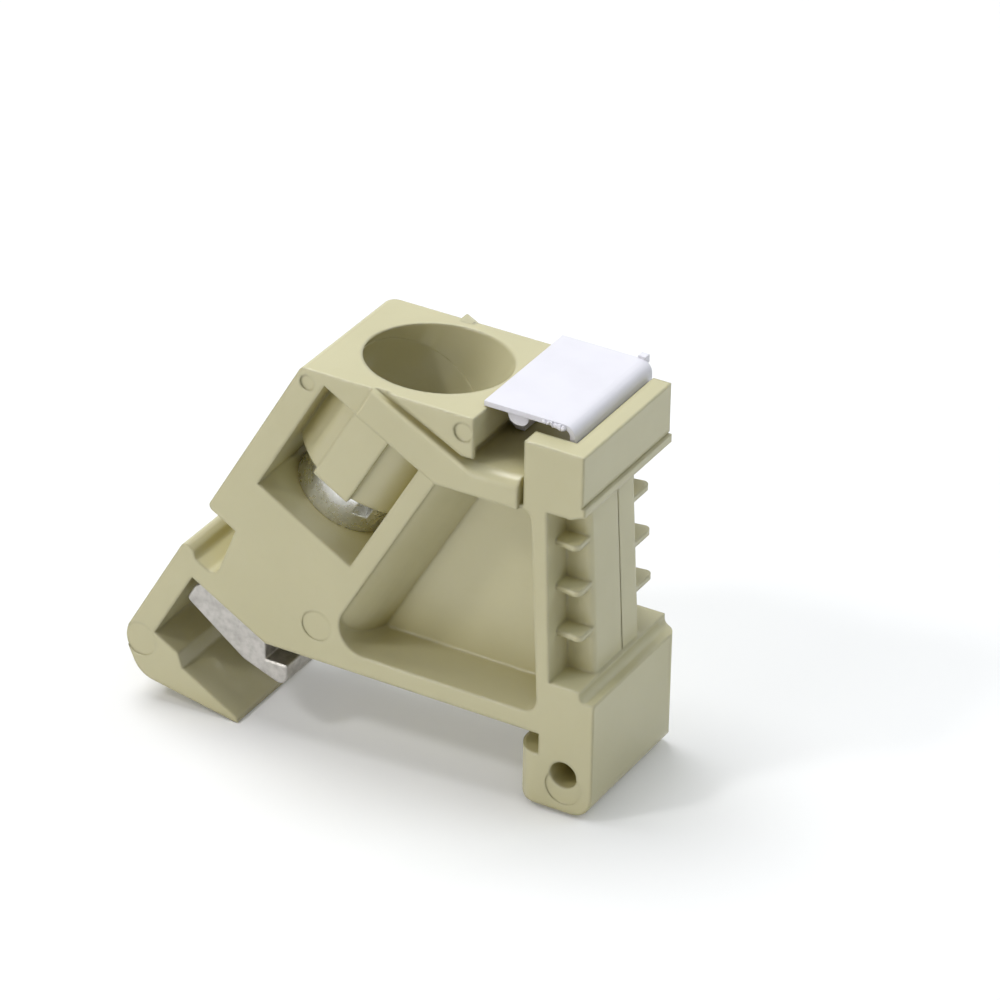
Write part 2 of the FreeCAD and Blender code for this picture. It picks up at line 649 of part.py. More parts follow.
    extrude(body, "Pocket", "rim_recess_cut", [[
        upright(ledge_end, rim_bottom), upright("rim_left", rim_bottom),
        upright("rim_left", slot_floor + 0.1), upright(ledge_end, slot_floor + 0.1),
    ]], measure("rim_recess"), height=half_width, symmetric=False)

    # Round marks of the mould's ejector pins, and the small hole through the foot.
    hole_centre = ("foot_hole_x", -measure("foot_hole_z"))
    mark_drop = measure("top_height") - 0.74
    top_marks = new_sketch(body, "top_marks_sketch", height=half_width)
    draw_circle(top_marks, tilted(flank + 0.66, level_at(flank + 0.66, mark_drop)), 0.4)
    draw_circle(top_marks, (measure("top_right") - 0.55, mark_drop - 0.12), 0.5)
    extrude_sketch(body, "Pocket", "top_marks", top_marks, "top_mark_depth", symmetric=False)
    marks = new_sketch(body, "ejector_marks_sketch", height=half_width)
    draw_circle(marks, tilted(3.27, -0.63), 0.8)
    draw_circle(marks, tilted(cavity_wall - 0.4, floor_outer - 0.97), 0.9)
    draw_circle(marks, ("foot_hole_x", -measure("foot_hole_z") - 0.66), 0.95)
    extrude_sketch(body, "Pocket", "ejector_marks", marks, "mark_depth", symmetric=False)
    hole = new_sketch(body, "foot_hole_sketch")
    draw_circle(hole, hole_centre, "foot_hole_radius")
    extrude_sketch(body, "Pocket", "foot_hole", hole, measure("body_width") + 2)
    return body


def make_screw():
    """A slotted cheese-head screw, standing on the shoulder of the bore."""
    body = new_body("clamp_screw")
    seat = measure("seat_level")
    tip = seat - measure("screw_length")
    top = seat + measure("head_height")
    radius = measure("screw_radius")
    turn(body, "Revolution", "screw_turned", [
        (0, tip), (radius - measure("screw_tip"), tip), (radius, tip + measure("screw_tip")),
        (radius, seat), ("head_radius", seat), ("head_radius", top), (0, top),
    ])
    base = body.Tip
    rim = [f"Edge{index}" for index, edge in enumerate(base.Shape.Edges, start=1)
           if isinstance(edge.Curve, Part.Circle)
           and (edge.Curve.Center - vector(tilted(0, top))).Length < 1e-3]
    dress(body, "Fillet", "head_rounding", base, rim, "Radius", "head_edge")
    slot = measure("slot_width") / 2
    slot_floor = top - measure("slot_cut")
    foot = tilted(0, 0)
    sketch = new_sketch(body, "driver_slot_sketch")
    sketch.AttachmentOffset = FreeCAD.Placement(
        FreeCAD.Vector(foot[0].number, foot[1].number, 0),
        FreeCAD.Rotation(FreeCAD.Vector(tilt_sine.number, tilt_cosine.number, 0), 1))
    bind(sketch, "AttachmentOffset.Base.x", foot[0])
    bind(sketch, "AttachmentOffset.Base.y", foot[1])
    bind(sketch, "AttachmentOffset.Rotation.Angle", "slot_turn")
    draw_outline(sketch, [
        (across_x - foot[0], level_z - foot[1]) for across_x, level_z in (
            tilted(-slot, slot_floor), tilted(slot, slot_floor),
            tilted(slot, top + 0.5), tilted(-slot, top + 0.5))])
    extrude_sketch(body, "Pocket", "driver_slot", sketch, measure("head_radius") * 2 + 2)
    return body


def make_jaw():
    """The steel jaw: a plate on the screw, with a claw that bends under the lip."""
    body = new_body("clamp_jaw")
    top = -measure("cavity_ceiling") - measure("jaw_play")
    outer = -measure("jaw_reach")
    low = top - measure("jaw_thickness")
    chamfer = measure("jaw_chamfer")
    lip_side = -lip_edge - 0.1
    claw_top = -(measure("lip_thickness") + measure("claw_play"))
    claw_end = -lip_edge + measure("claw_reach")
    claw_low = claw_top - measure("claw_thickness")
    top_outer = tilted(outer + chamfer * 0.5, top)
    side_high = tilted(outer, top - chamfer)
    side_low = tilted(outer, low)
    heel = tilted(1.26, low - measure("jaw_growth"))
    top_inner = (lip_side, (top - lip_side * tilt_sine) / tilt_cosine)
    claw_tip_low = upright(claw_end, claw_low)
    claw_tip_high = upright(claw_end, claw_top)
    extrude(body, "Pad", "jaw_plate", [[
        top_outer, side_high, side_low, heel, claw_tip_low, claw_tip_high,
        upright(lip_side, claw_top), top_inner,
    ]], measure("body_width") - 2 * measure("jaw_side_play"))
    round_corners(body, "claw_tip_corner", [claw_tip_low], 0.5)
    round_corners(body, "jaw_outer_corner", [side_low], 0.25)
    round_corners(body, "jaw_heel_corner", [heel], 1.0)
    thread = measure("screw_radius") + measure("jaw_hole_play")
    turn(body, "Groove", "jaw_thread", [
        (0, low - 2), (thread, low - 2), (thread, top + 0.5), (0, top + 0.5),
    ])
    return body


def make_tag():
    """The marker tag: a thin bent plate with a tongue and a snap hook under it."""
    body = new_body("marker_tag")
    play = measure("tag_play")
    under = measure("top_height") + play
    over = under + measure("tag_thickness")
    left = measure("tag_left")
    right = measure("rim_right") - measure("rim_wall") - play
    skirt_end = over - measure("tag_skirt") - measure("tag_thickness")
    front = measure("tag_front")
    back = measure("tag_back")
    bend_corner = upright(right, over)
    bend_inner = upright(right - measure("tag_thickness"), under)
    extrude(body, "Pad", "tag_plate", [[
        upright(left, under), bend_inner, upright(right - measure("tag_thickness"), skirt_end),
        upright(right, skirt_end), bend_corner, upright(left, over),
    ]], front + back, height=(front - back) / 2)
    round_corners(body, "tag_bend_outside", [bend_corner], "tag_bend")
    round_corners(body, "tag_bend_inside", [bend_inner], measure("tag_bend") * 0.5)

    leg_left = left + measure("tag_leg_left")
    leg_right = leg_left + measure("tag_leg_width")
    leg_end = under - measure("tag_leg_drop")
    extrude(body, "Pad", "tag_tongue", [[
        upright(leg_left, under + 0.1), upright(leg_left, leg_end),
        upright(leg_right, leg_end), upright(leg_right, under + 0.1),
    ]], 1.6, height=front - 1.9, symmetric=False)
    round_corners(body, "tag_tongue_corners", [
        upright(leg_left, leg_end), upright(leg_right, leg_end)],
        measure("tag_leg_width") * 0.45)

    nib_right = right - 0.35
    extrude(body, "Pad", "tag_nib", [[
        upright(nib_right - 0.4, under), upright(nib_right, under),
        upright(nib_right, over + 0.12), upright(nib_right - 0.4, over + 0.12),
    ]], 0.4, height=0.05 - back, symmetric=False, reverse=True)

    stem = measure("top_right") + play
    stem_right = stem + measure("tag_hook_width")
    hook_tip = stem - measure("slot_undercut") + 0.1
    hook_top = slot_floor + measure("undercut_height") - play
    hook_floor = slot_floor + 0.1
    extrude(body, "Pad", "tag_hook", [[
        upright(stem, under + 0.1), upright(stem, hook_top), upright(hook_tip, hook_top),
        upright(hook_tip, hook_top - 0.25), upright(stem + 0.05, hook_floor),
        upright(stem_right, hook_floor), upright(stem_right, under + 0.1),
    ]], "tag_hook_length", height=-1)
    return body


pieces = [make_housing(), make_screw(), make_jaw(), make_tag()]
document.recompute()
for item in document.Objects:
    if "Invalid" in item.State or "Error" in item.State:
        raise RuntimeError(f"{item.Name} is not built: {item.State}")
for piece in pieces:
    if piece.Shape.isNull() or not piece.Shape.isValid() or len(piece.Shape.Solids) != 1:
        raise RuntimeError(f"{piece.Label} is not one sound solid")

os.makedirs("parts", exist_ok=True)
for piece in pieces:
    piece.Shape.exportStep(f"parts/{piece.Label}.step")
    print(piece.Label, round(piece.Shape.Volume, 2), piece.Shape.BoundBox)
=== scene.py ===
import bpy
import bmesh
import math
from mathutils import Matrix, Vector
from mathutils.bvhtree import BVHTree


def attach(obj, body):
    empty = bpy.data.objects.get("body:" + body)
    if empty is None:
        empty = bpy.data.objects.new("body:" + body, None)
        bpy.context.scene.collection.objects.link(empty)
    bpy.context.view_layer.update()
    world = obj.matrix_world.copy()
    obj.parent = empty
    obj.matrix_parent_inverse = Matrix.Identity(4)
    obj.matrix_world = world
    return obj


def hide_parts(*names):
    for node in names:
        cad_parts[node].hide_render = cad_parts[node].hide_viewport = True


# A rail end stop: beige moulding, clamping screw, steel jaw and a white marker tag.
# Blender works in metres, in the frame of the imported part. The dictionaries hold
# millimetres and degrees.

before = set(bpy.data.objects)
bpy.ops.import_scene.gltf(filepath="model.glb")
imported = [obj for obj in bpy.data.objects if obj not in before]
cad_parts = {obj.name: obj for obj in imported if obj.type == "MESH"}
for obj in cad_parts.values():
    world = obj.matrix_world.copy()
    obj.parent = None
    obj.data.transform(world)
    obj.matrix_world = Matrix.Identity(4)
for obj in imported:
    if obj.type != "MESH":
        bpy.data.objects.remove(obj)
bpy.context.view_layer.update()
scene = bpy.context.scene
mm = 0.001

# the leaning axis that the screw, its bore and the jaw share
leaningAxis = {"tilt": 30, "across": -8.2}
tilt = math.radians(leaningAxis["tilt"])
axisDirection = Vector((math.sin(tilt), 0, math.cos(tilt)))
acrossDirection = Vector((math.cos(tilt), 0, -math.sin(tilt)))
axisFoot = acrossDirection * leaningAxis["across"] * mm
print("frame loaded:", sorted(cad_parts))


class Field:
    # wraps one socket, so that shader maths reads like plain expressions
    def __init__(self, wiring, socket):
        self.wiring = wiring
        self.socket = socket

    def maths(self, operation, *values):
        settings = {"operation": operation}
        return self.wiring.add("ShaderNodeMath", settings, dict(enumerate(values)))

    def __add__(self, other):
        return self.maths("ADD", self, other)

    def __radd__(self, other):
        return self.maths("ADD", other, self)

    def __sub__(self, other):
        return self.maths("SUBTRACT", self, other)

    def __rsub__(self, other):
        return self.maths("SUBTRACT", other, self)

    def __mul__(self, other):
        return self.maths("MULTIPLY", self, other)

    def __rmul__(self, other):
        return self.maths("MULTIPLY", other, self)

    def within(self, low, high):
        # 0 below low, 1 above high, smooth between
        settings = {"interpolation_type": "SMOOTHSTEP"}
        return self.wiring.add("ShaderNodeMapRange", settings, {0: self, 1: low, 2: high})


class Wiring:
    # the nodes of one material, or of the world
    def __init__(self, owner):
        owner.use_nodes = True
        self.nodes = owner.node_tree.nodes
        self.links = owner.node_tree.links

    def add(self, kind, settings=None, values=None, output=0):
        node = self.nodes.new(kind)
        for key, value in (settings or {}).items():
            setattr(node, key, value)
        for key, value in (values or {}).items():
            if isinstance(value, Field):
                self.links.new(value.socket, node.inputs[key])
            else:
                node.inputs[key].default_value = value
        return Field(self, node.outputs[output])

    def seen(self):
        # 1 for what the camera sees, also mirrored or through something, 0 for other light
        camera, mirrored, through = (
            self.add("ShaderNodeLightPath", output=ray)
            for ray in ("Is Camera Ray", "Is Glossy Ray", "Is Transmission Ray"))
        return (camera + mirrored + through).within(0, 1)

    def finishWith(self, output, surface):
        self.links.new(surface.socket, self.nodes[output].inputs["Surface"])


class Finish(Wiring):
    # one material round its Principled shader, whose constant sockets are set here
    noiseRoughness = 0.55
    edgeSamples = 5
    # samples of the ambient occlusion that places the painted shade in recesses
    paintedShadeSamples = 4

    def __init__(self, name, constants):
        self.material = bpy.data.materials.new(name)
        super().__init__(self.material)
        self.shader = self.nodes["Principled BSDF"]
        for socket, value in constants.items():
            self.shader.inputs[socket].default_value = value
        self.place = self.add("ShaderNodeTexCoord", output="Object")

    def noise(self, spots, place=None):
        return self.add("ShaderNodeTexNoise", None, {
            "Vector": place or self.place, "Scale": spots["perMillimetre"] / mm,
            "Detail": spots["detail"], "Roughness": self.noiseRoughness})

    def patches(self, spots):
        # noise cut down to soft patches
        return self.noise(spots).within(spots["from"], spots["to"])

    def blend(self, factor, first, second):
        # a Mix node takes two colours at its sockets 6 and 7 and gives one at output 2
        values = {0: factor}
        for socket, colour in ((6, first), (7, second)):
            values[socket] = colour if isinstance(colour, Field) else (*colour, 1)
        return self.add("ShaderNodeMix", {"data_type": "RGBA"}, values, output=2)

    def feed(self, socket, value):
        self.links.new(value.socket, self.shader.inputs[socket])

    def bump(self, height, look):
        # the relief in the surface, and edges that look rounded a little wider than they are
        softened = self.add("ShaderNodeBevel", {"samples": self.edgeSamples},
                            {"Radius": look["edge"] * mm})
        normal = self.add("ShaderNodeBump", None, {
            "Height": height, "Distance": look["relief"] * mm, "Strength": 1,
            "Normal": softened})
        self.feed("Normal", normal)

    def paintedShadeMask(self, recess):
        # painted shade: 1 where the surface lies deep in a recess and would be shaded, 0 where
        # it lies open
        openness = self.add("ShaderNodeAmbientOcclusion", {"samples": self.paintedShadeSamples},
                            {"Distance": recess["reach"] * mm}, output="AO")
        return (1 - openness).within(recess["from"], recess["to"])


def plasticBody(look):
    # constants of a plastic that lets light a little way in
    inside = look["inside"]
    return {"IOR": look["ior"], "Subsurface Weight": inside["weight"],
            "Subsurface Radius": inside["colours"], "Subsurface Scale": inside["reach"] * mm}


def beigePlastic(look):
    # satin moulded plastic: soft flow marks, faint specks, and painted shade, a darker and more
    # saturated colour in recesses
    finish = Finish("beigePlastic", plasticBody(look))
    flow = finish.patches(look["flow"])
    specks = finish.patches(look["specks"])
    colour = finish.blend(flow, look["colour"], look["flowColour"])
    colour = finish.blend(specks * look["speckShare"], colour, look["speckColour"])
    # painted shade: recesses found by ambient occlusion get a darker, warmer colour
    colour = finish.blend(finish.paintedShadeMask(look["recess"]), colour, look["paintedShadeColour"])
    finish.feed("Base Color", colour)
    finish.feed("Roughness", look["roughness"] + look["flowRoughness"] * flow)
    finish.bump(finish.noise(look["waves"]), look)
    return finish.material


# what both zinc-plated pieces share
zincPattern = {
    "patches": {"perMillimetre": 2.4, "detail": 4, "from": 0.25, "to": 0.8},
    "lines": {"perMillimetre": 2.0, "detail": 3},
    "fine": {"perMillimetre": 7, "detail": 3},
    "patchRoughness": 0.16,
    "lineRoughness": 0.12,
    "fineShare": 0.5,
}


def zincSteel(name, look):
    # zinc on steel: patches of slightly different shine, and lines that stretch draws out
    finish = Finish(name, {"Metallic": 1})
    patches = finish.patches(zincPattern["patches"])
    stretched = finish.add("ShaderNodeMapping", {"vector_type": "POINT"}, {
        "Vector": finish.place, "Scale": look["stretch"]})
    lines = finish.noise(zincPattern["lines"], stretched)
    finish.feed("Base Color", finish.blend(patches, look["colour"], look["dullColour"]))
    finish.feed("Roughness", look["roughness"] + zincPattern["patchRoughness"] * patches
                + zincPattern["lineRoughness"] * lines)
    fine = finish.noise(zincPattern["fine"])
    finish.bump(lines + zincPattern["fineShare"] * fine, look)
    return finish.material


def whitePlastic(look):
    finish = Finish("whitePlastic", plasticBody(look))
    haze = finish.patches(look["haze"])
    finish.feed("Base Color", finish.blend(haze, look["colour"], look["hazeColour"]))
    grain = finish.noise(look["grain"])
    finish.feed("Roughness", look["roughness"] + look["grainRoughness"] * grain)
    finish.bump(grain * look["grainShare"] + finish.noise(look["waves"]), look)
    return finish.material


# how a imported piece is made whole, and how its edges are rounded
meshCare = {
    "joinWithin": 0.002,
    "flatWithin": 0.6,
    "evenWeight": 80,      # how much more the large faces count in the shading
}
rounding = {
    "share": 0.42,         # of the room beside an edge, for its rounding
    "straight": 0.94,      # cosine above which two sharp edges are one line
    "leastAside": 0.05,    # sine that a slanting edge counts with at least
    "onward": 0.8,         # cosine above which an edge runs on into the next
    "least": 0.02,         # a smaller rounding is left out
    "astray": 0.6,         # share of the width past which a corner goes back
}


def meshOf(builder, mostCorners=math.inf):
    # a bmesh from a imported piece, its loose triangles joined and flat areas made whole;
    # a flat area with more corners than wanted goes back to triangles
    mesh = bmesh.new()
    mesh.from_mesh(builder.data)
    bmesh.ops.remove_doubles(mesh, verts=mesh.verts, dist=meshCare["joinWithin"] * mm)
    bmesh.ops.dissolve_limit(mesh, angle_limit=math.radians(meshCare["flatWithin"]),
                             verts=mesh.verts, edges=mesh.edges, delimit={"NORMAL"})
    busy = [face for face in mesh.faces if len(face.verts) > mostCorners]
    bmesh.ops.triangulate(mesh, faces=busy, quad_method="BEAUTY", ngon_method="BEAUTY")
    return mesh


def bakeModifiers(piece):
    # the piece with its modifiers worked in, as a plain mesh
    depsgraph = bpy.context.evaluated_depsgraph_get()
    plain = bpy.data.meshes.new_from_object(piece.evaluated_get(depsgraph))
    piece.modifiers.clear()
    piece.data = plain


def smoothBelow(data, degrees):
    # smooth shading, apart from edges that turn more than this
    for face in data.polygons:
        face.use_smooth = True
    data.set_sharp_from_angle(angle=math.radians(degrees))


def faceReach(face, edge):
    # how far a face goes from one of its edges, measured square to that edge
    start = edge.verts[0].co
    along = (edge.verts[1].co - start).normalized()
    reach = 0
    for vertex in face.verts:
        offset = vertex.co - start
        reach = max(reach, (offset - along * offset.dot(along)).length)
    return reach


def roomFor(edge, sharp, bevel):
    # how wide an edge can be rounded before it meets the small forms beside it
    free = min(faceReach(face, edge) for face in edge.link_faces)
    along = (edge.verts[1].co - edge.verts[0].co).normalized()
    for vertex in edge.verts:
        for other in vertex.link_edges:
            if other is edge:
                continue
            way = (other.other_vert(vertex).co - vertex.co).normalized()
            straight = abs(way.dot(along))
            if other not in sharp:
                aside = math.sqrt(max(0, 1 - straight ** 2))
                free = min(free, other.calc_length() * max(rounding["leastAside"], aside))
            elif straight < rounding["straight"]:
                free = min(free, other.calc_length())
    widest = bevel["width"] if edge.is_convex else bevel["inner"]
    return min(rounding["share"] * free, widest * mm)


def chainFrom(first, room, seen):
    # the edges that run on from this one, to both sides
    seen.add(first)
    chain, ahead = [], [first]
    while ahead:
        edge = ahead.pop()
        chain.append(edge)
        for vertex in edge.verts:
            way = (vertex.co - edge.other_vert(vertex).co).normalized()
            for other in vertex.link_edges:
                if other in room and other not in seen:
                    onward = (other.other_vert(vertex).co - vertex.co).normalized()
                    if way.dot(onward) > rounding["onward"]:
                        seen.add(other)
                        ahead.append(other)
    return chain


def weighEdges(mesh, bevel):
    # each chain of sharp edges is rounded as far as its narrowest place leaves room
    layer = mesh.edges.layers.float.new("bevel_weight_edge")
    turn = math.radians(bevel["above"])
    sharp = dict.fromkeys(edge for edge in mesh.edges     # kept in the mesh's own order
                          if len(edge.link_faces) == 2 and edge.calc_face_angle(0) > turn)
    room = {edge: roomFor(edge, sharp, bevel) for edge in sharp}
    seen = set()
    for first in room:
        if first in seen:
            continue
        chain = chainFrom(first, room, seen)
        shared = min(room[edge] for edge in chain)
        if shared > rounding["least"] * mm:
            for edge in chain:
                edge[layer] = shared / (bevel["width"] * mm)


def finishPiece(name, mesh, material, body, bevel):
    data = bpy.data.meshes.new(name)
    ownSurface = BVHTree.FromBMesh(mesh)
    weighEdges(mesh, bevel)
    mesh.to_mesh(data)
    mesh.free()
    piece = bpy.data.objects.new(name, data)
    scene.collection.objects.link(piece)
    data.materials.clear()
    data.materials.append(material)
    smoothBelow(data, bevel["above"])
    edges = piece.modifiers.new("edges", "BEVEL")
    edges.width = bevel["width"] * mm
    edges.segments = bevel["segments"]
    edges.limit_method = "WEIGHT"
    edges.harden_normals = True
    edges.use_clamp_overlap = True
    edges.loop_slide = False
    edges.miter_outer = "MITER_ARC"
    bakeModifiers(piece)
    for vertex in piece.data.vertices:
        # a corner that the rounding threw out goes back onto the piece's own surface
        nearest, *_, distance = ownSurface.find_nearest(vertex.co)
        if distance > rounding["astray"] * bevel["width"] * mm:
            vertex.co = nearest
    even = piece.modifiers.new("evenShading", "WEIGHTED_NORMAL")
    even.mode = "FACE_AREA_WITH_ANGLE"
    even.weight = meshCare["evenWeight"]
    even.keep_sharp = True
    bakeModifiers(piece)
    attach(piece, body)
    print(name, "faces", len(piece.data.polygons))
    return piece


def growTree(name, inputs, material, build):
    # a Geometry Nodes tree with named inputs, which ends in real mesh of one material
    tree = bpy.data.node_groups.new(name, "GeometryNodeTree")
    sockets = {}
    for key, value in inputs.items():
        kind = "NodeSocketInt" if isinstance(value, int) else "NodeSocketFloat"
        socket = tree.interface.new_socket(key, in_out="INPUT", socket_type=kind)
        sockets[socket.identifier] = value
    tree.interface.new_socket("Geometry", in_out="OUTPUT", socket_type="NodeSocketGeometry")
    start = tree.nodes.new("NodeGroupInput")
    end = tree.nodes.new("NodeGroupOutput")

    def add(kind, settings, values):
        node = tree.nodes.new(kind)
        for key, value in settings.items():
            setattr(node, key, value)
        for key, value in values.items():
            if isinstance(value, bpy.types.NodeSocket):
                tree.links.new(value, node.inputs[key])
            else:
                node.inputs[key].default_value = value
        return node.outputs[0]

    grown = build(add, start.outputs)
    real = add("GeometryNodeRealizeInstances", {}, {"Geometry": grown})
    coloured = add("GeometryNodeSetMaterial", {}, {"Geometry": real, "Material": material})
    tree.links.new(coloured, end.inputs[0])

    piece = bpy.data.objects.new(name, bpy.data.meshes.new(name))
    scene.collection.objects.link(piece)
    modifier = piece.modifiers.new(name, "NODES")
    modifier.node_group = tree
    for identifier, value in sockets.items():
        modifier[identifier] = value
    bakeModifiers(piece)
    print(name, "faces", len(piece.data.polygons))
    return piece


# the moulding
moulding = {
    "colour": (0.475, 0.443, 0.272),
    "flowColour": (0.50, 0.468, 0.292),
    "speckColour": (0.44, 0.405, 0.24),
    # painted shade for recesses, darker and more saturated than the plastic
    "paintedShadeColour": (0.44, 0.38, 0.135),
    "flow": {"perMillimetre": 0.18, "detail": 2, "from": 0.2, "to": 0.8},
    "specks": {"perMillimetre": 1.6, "detail": 1, "from": 0.6, "to": 0.9},
    "speckShare": 0.15,
    # how far the ambient occlusion looks, and over which range the painted shade fades in
    "recess": {"reach": 4, "from": 0.5, "to": 1},
    "roughness": 0.23,
    "flowRoughness": 0.04,
    "waves": {"perMillimetre": 0.45, "detail": 2},
    "relief": 0.02,
    "edge": 0.26,
    "ior": 1.5,
    "inside": {"weight": 0.12, "colours": (1, 0.85, 0.5), "reach": 0.4},
    "bevel": {"width": 0.2, "inner": 0.12, "segments": 3, "above": 25},
    # the groove between the front ledge and the tower, whose top end is shallow
    "valley": {"floor": -3.65, "raisedTo": -3.92, "above": 15.7, "within": 0.01},
}


def softenValley(mesh, valley):
    for vertex in mesh.verts:
        onFloor = abs(vertex.co.y - valley["floor"] * mm) < valley["within"] * mm
        if onFloor and vertex.co.z > valley["above"] * mm:
            vertex.co.y = valley["raisedTo"] * mm
    return mesh


housingMesh = softenValley(meshOf(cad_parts["housing"]), moulding["valley"])
housing = finishPiece("mouldedHousing", housingMesh, beigePlastic(moulding),
                      "housing", moulding["bevel"])
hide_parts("housing")

# the screw: its shank is drawn in to the thread's core, and the ridge winds round it
clampingScrew = {
    "colour": (0.80, 0.80, 0.78),
    "dullColour": (0.62, 0.62, 0.6),
    "roughness": 0.16,
    "stretch": (1, 1, 1),
    "relief": 0.004,
    "edge": 0.08,
    "bevel": {"width": 0.05, "inner": 0.03, "segments": 2, "above": 25},
    "pitch": 0.5,
    "radius": 1.5,
    "core": 1.27,
    "threadFrom": -7.55,     # levels along the leaning axis
    "threadTo": 3.2,
    "pointsPerTurn": 40,
    "ridgeSides": 4,
    "ridgeSharpAbove": 40,
    "within": 0.02,
}


def slimShank(mesh, plan):
    # only the points on the shank's full radius, between the tip and the head
    for vertex in mesh.verts:
        offset = vertex.co - axisFoot
        foot = axisFoot + axisDirection * offset.dot(axisDirection)
        radius = (vertex.co - foot).length
        if abs(radius - plan["radius"] * mm) < plan["within"] * mm:
            vertex.co = foot + (vertex.co - foot) * plan["core"] / plan["radius"]
    return mesh


def threadRidge(add, inputs):
    helix = add("GeometryNodeCurveSpiral", {}, {
        "Resolution": clampingScrew["pointsPerTurn"], "Rotations": inputs["Turns"],
        "Start Radius": inputs["Core"], "End Radius": inputs["Core"],
        "Height": inputs["Height"]})
    upright = add("GeometryNodeSetCurveNormal", {"mode": "Z_UP"}, {"Curve": helix})
    diamond = add("GeometryNodeCurvePrimitiveCircle", {"mode": "RADIUS"}, {
        "Resolution": clampingScrew["ridgeSides"], "Radius": inputs["Depth"]})
    ridge = add("GeometryNodeCurveToMesh", {}, {
        "Curve": upright, "Profile Curve": diamond, "Fill Caps": True})
    lowEnd = axisFoot + axisDirection * clampingScrew["threadFrom"] * mm
    return add("GeometryNodeTransform", {}, {
        "Geometry": ridge, "Translation": lowEnd, "Rotation": (0, tilt, 0)})


screwZinc = zincSteel("screwZinc", clampingScrew)
slimmed = slimShank(meshOf(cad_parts["clamp_screw"]), clampingScrew)
screw = finishPiece("clampingScrew", slimmed, screwZinc, "screw",
                    clampingScrew["bevel"])
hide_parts("clamp_screw")
threadLength = clampingScrew["threadTo"] - clampingScrew["threadFrom"]
thread = growTree("screwThread", {
    "Turns": threadLength / clampingScrew["pitch"],
    "Core": clampingScrew["core"] * mm,
    "Height": threadLength * mm,
    "Depth": (clampingScrew["radius"] - clampingScrew["core"]) * mm,
}, screwZinc, threadRidge)
smoothBelow(thread.data, clampingScrew["ridgeSharpAbove"])
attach(thread, "screw")

# the jaw: duller zinc, with marks drawn out along its width
steelJaw = {
    "colour": (0.50, 0.48, 0.45),
    "dullColour": (0.36, 0.345, 0.32),
    "roughness": 0.3,
    "stretch": (1, 0.08, 1),
    "relief": 0.014,
    "edge": 0.12,
    "bevel": {"width": 0.12, "inner": 0.06, "segments": 3, "above": 25},
    "mostCorners": 36,
}
jaw = finishPiece("steelJaw", meshOf(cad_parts["clamp_jaw"], steelJaw["mostCorners"]),
                  zincSteel("jawZinc", steelJaw), "jaw", steelJaw["bevel"])
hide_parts("clamp_jaw")

# the marker tag
markerTag = {
    "colour": (0.67, 0.66, 0.71),
    "hazeColour": (0.64, 0.63, 0.68),
    "haze": {"perMillimetre": 0.3, "detail": 3, "from": 0.35, "to": 0.7},
    "roughness": 0.42,
    "grain": {"perMillimetre": 6, "detail": 3},
    "grainRoughness": 0.12,
    "grainShare": 0.4,
    "waves": {"perMillimetre": 0.6, "detail": 2},
    "relief": 0.01,
    "edge": 0.08,
    "ior": 1.49,
    "inside": {"weight": 0.2, "colours": (1, 1, 1), "reach": 0.5},
    "bevel": {"width": 0.09, "inner": 0.05, "segments": 3, "above": 25},
}
tag = finishPiece("markerTag", meshOf(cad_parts["marker_tag"]),
                  whitePlastic(markerTag), "housing", markerTag["bevel"])
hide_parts("marker_tag")

# torn bits on the tag's front edge, where it was snapped off its strip
tornEdge = {
    "from": (6.9, -2.83, 15.98),
    "to": (7.9, -2.83, 15.92),
    "bits": 6,
    "size": 0.2,
    "mostTurn": (6.28, 6.28, 6.28),     # radians
    "smallest": (0.4, 0.4, 0.3),        # of that size, each way
    "largest": (1.0, 0.9, 0.8),
    "subdivisions": 1,
    "edge": 0.01,
    "seed": 7,
}


def breakMarks(add, inputs):
    edge = add("GeometryNodeMeshLine", {"mode": "END_POINTS"}, {
        "Count": inputs["Bits"], "Start Location": Vector(tornEdge["from"]) * mm,
        "Offset": Vector(tornEdge["to"]) * mm})
    bit = add("GeometryNodeMeshIcoSphere", {}, {
        "Radius": inputs["Size"], "Subdivisions": tornEdge["subdivisions"]})
    turns = add("FunctionNodeRandomValue", {"data_type": "FLOAT_VECTOR"}, {
        0: (0, 0, 0), 1: tornEdge["mostTurn"], "Seed": inputs["Seed"]})
    sizes = add("FunctionNodeRandomValue", {"data_type": "FLOAT_VECTOR"}, {
        0: tornEdge["smallest"], 1: tornEdge["largest"], "Seed": inputs["Seed"]})
    return add("GeometryNodeInstanceOnPoints", {}, {
        "Points": edge, "Instance": bit, "Rotation": turns, "Scale": sizes})


tornPlastic = whitePlastic({**markerTag, "edge": tornEdge["edge"]})
breaks = growTree("tagBreakMarks", {
    "Bits": tornEdge["bits"], "Size": tornEdge["size"] * mm, "Seed": tornEdge["seed"],
}, tornPlastic, breakMarks)
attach(breaks, "housing")

# floor and light
studio = {
    "floorHeight": -5.13,      # under the arm's tip
    "floorTilt": 3.15,         # so that the foot stands on it too
    "tiltedFrom": -9,
    "floorReach": 1500,
    "floorColour": (0.72, 0.72, 0.72),
    "floorRoughness": 0.9,
    "floorGlow": 0.12,         # only where the floor is seen, so it lights nothing
    "roomStrength": 0.24,
    "seenStrength": 1,         # what the camera sees past the floor: white
    "aim": (-1, 0, 5),
    "lamps": [
        # name, place, size, power in watts, colour
        ("overhead", (-110, 40, 310), 220, 0.82, (0.98, 0.99, 1)),
        ("front", (-70, -175, 45), 110, 0.105, (1, 0.99, 0.97)),
        ("frontRight", (150, -200, 260), 120, 0.05, (1, 1, 1)),
        ("glint", (-94, -112, 164), 30, 0.10, (1, 1, 1)),
        ("right", (210, 90, 270), 200, 0.30, (0.84, 0.94, 1)),
        ("behind", (40, 320, 160), 260, 0.18, (1, 1, 1)),
    ],
}


